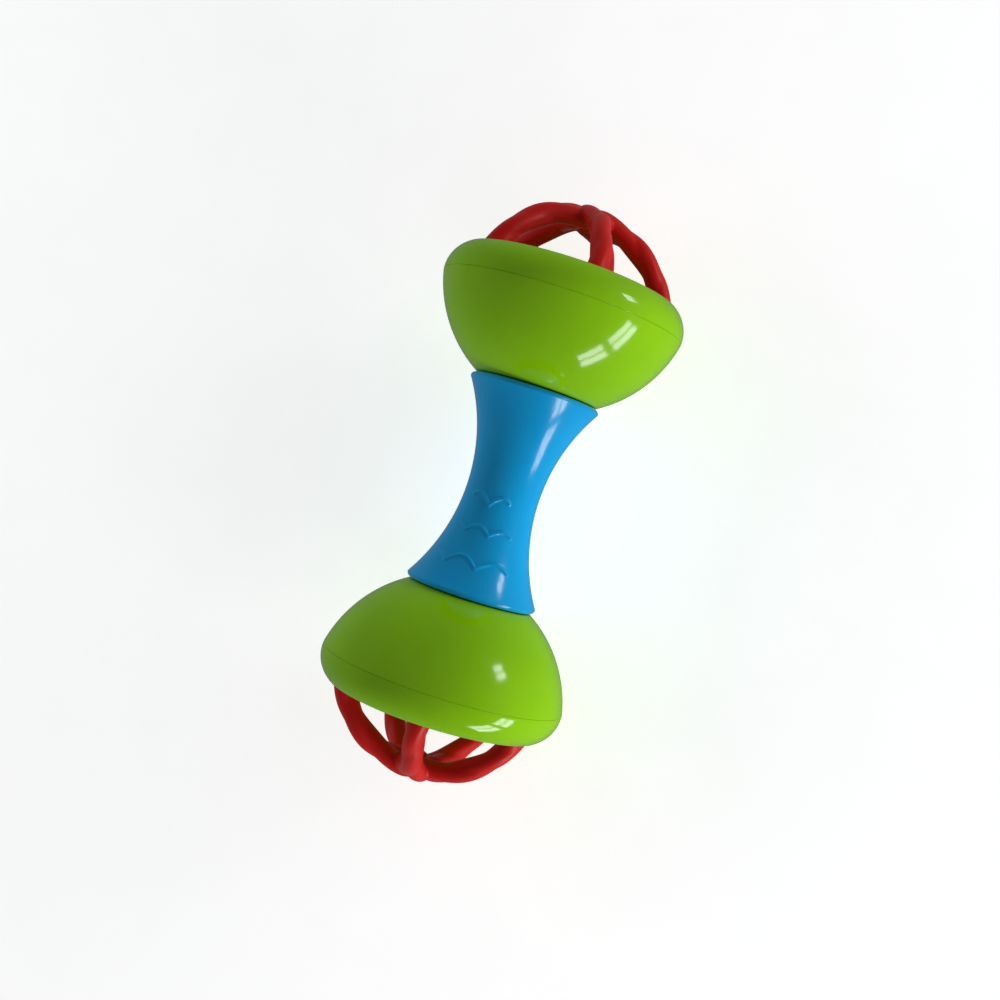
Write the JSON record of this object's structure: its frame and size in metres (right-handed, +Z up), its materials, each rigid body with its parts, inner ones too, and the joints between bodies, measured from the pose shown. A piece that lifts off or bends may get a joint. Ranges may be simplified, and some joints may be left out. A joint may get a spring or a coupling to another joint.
{
  "type": "baby rattle",
  "caption": "Dumbbell-shaped baby rattle: a waisted grip between two round cups, each closed by a soft woven lattice dome, with loose beads sealed in the cups.",
  "frame": {"origin": "the middle of the grip on the long axis, which is the middle of the whole rattle", "axes": "+X along the long axis towards the right dome; +Z up, out of the front of the grip, with the rattle lying on the rims of its cups; +Y completes the right-handed frame"},
  "size_m": [0.1558, 0.0652, 0.0652],
  "materials": {
    "blue_plastic": "glossy injection-moulded ABS",
    "green_plastic": "glossy injection-moulded ABS",
    "red_rubber": "soft satin thermoplastic elastomer",
    "yellow_plastic": "smooth polypropylene beads",
    "screw_steel": "zinc-plated"
  },
  "bodies": {
    "rattle": {"handle_front_shell": "blue_plastic", "handle_back_shell": "blue_plastic", "handle_screws": "screw_steel", "right_cup": "green_plastic", "right_chamber_lid": "green_plastic", "right_rim_ring": "green_plastic", "right_lattice_dome": "red_rubber", "left_cup": "green_plastic", "left_chamber_lid": "green_plastic", "left_rim_ring": "green_plastic", "left_lattice_dome": "red_rubber"},
    "right_bead_1": {"right_bead_1": "yellow_plastic"},
    "right_bead_2": {"right_bead_2": "yellow_plastic"},
    "right_bead_3": {"right_bead_3": "yellow_plastic"},
    "right_bead_4": {"right_bead_4": "yellow_plastic"},
    "right_bead_5": {"right_bead_5": "yellow_plastic"},
    "left_bead_1": {"left_bead_1": "yellow_plastic"},
    "left_bead_2": {"left_bead_2": "yellow_plastic"},
    "left_bead_3": {"left_bead_3": "yellow_plastic"},
    "left_bead_4": {"left_bead_4": "yellow_plastic"},
    "left_bead_5": {"left_bead_5": "yellow_plastic"}
  },
  "joints": [
    {"name": "right_bead_1_slide", "type": "slide", "parent": "rattle", "child": "right_bead_1", "axis": [0, 0, 1], "range_m": [0, 0.0375]},
    {"name": "right_bead_2_slide", "type": "slide", "parent": "rattle", "child": "right_bead_2", "axis": [0, 0, 1], "range_m": [0, 0.0435]},
    {"name": "right_bead_3_slide", "type": "slide", "parent": "rattle", "child": "right_bead_3", "axis": [0, 0, 1], "range_m": [0, 0.0454]},
    {"name": "right_bead_4_slide", "type": "slide", "parent": "rattle", "child": "right_bead_4", "axis": [0, 0, 1], "range_m": [0, 0.0435]},
    {"name": "right_bead_5_slide", "type": "slide", "parent": "rattle", "child": "right_bead_5", "axis": [0, 0, 1], "range_m": [0, 0.0375]},
    {"name": "left_bead_1_slide", "type": "slide", "parent": "rattle", "child": "left_bead_1", "axis": [0, 0, 1], "range_m": [0, 0.0375]},
    {"name": "left_bead_2_slide", "type": "slide", "parent": "rattle", "child": "left_bead_2", "axis": [0, 0, 1], "range_m": [0, 0.0435]},
    {"name": "left_bead_3_slide", "type": "slide", "parent": "rattle", "child": "left_bead_3", "axis": [0, 0, 1], "range_m": [0, 0.0454]},
    {"name": "left_bead_4_slide", "type": "slide", "parent": "rattle", "child": "left_bead_4", "axis": [0, 0, 1], "range_m": [0, 0.0435]},
    {"name": "left_bead_5_slide", "type": "slide", "parent": "rattle", "child": "left_bead_5", "axis": [0, 0, 1], "range_m": [0, 0.0375]}
  ]
}
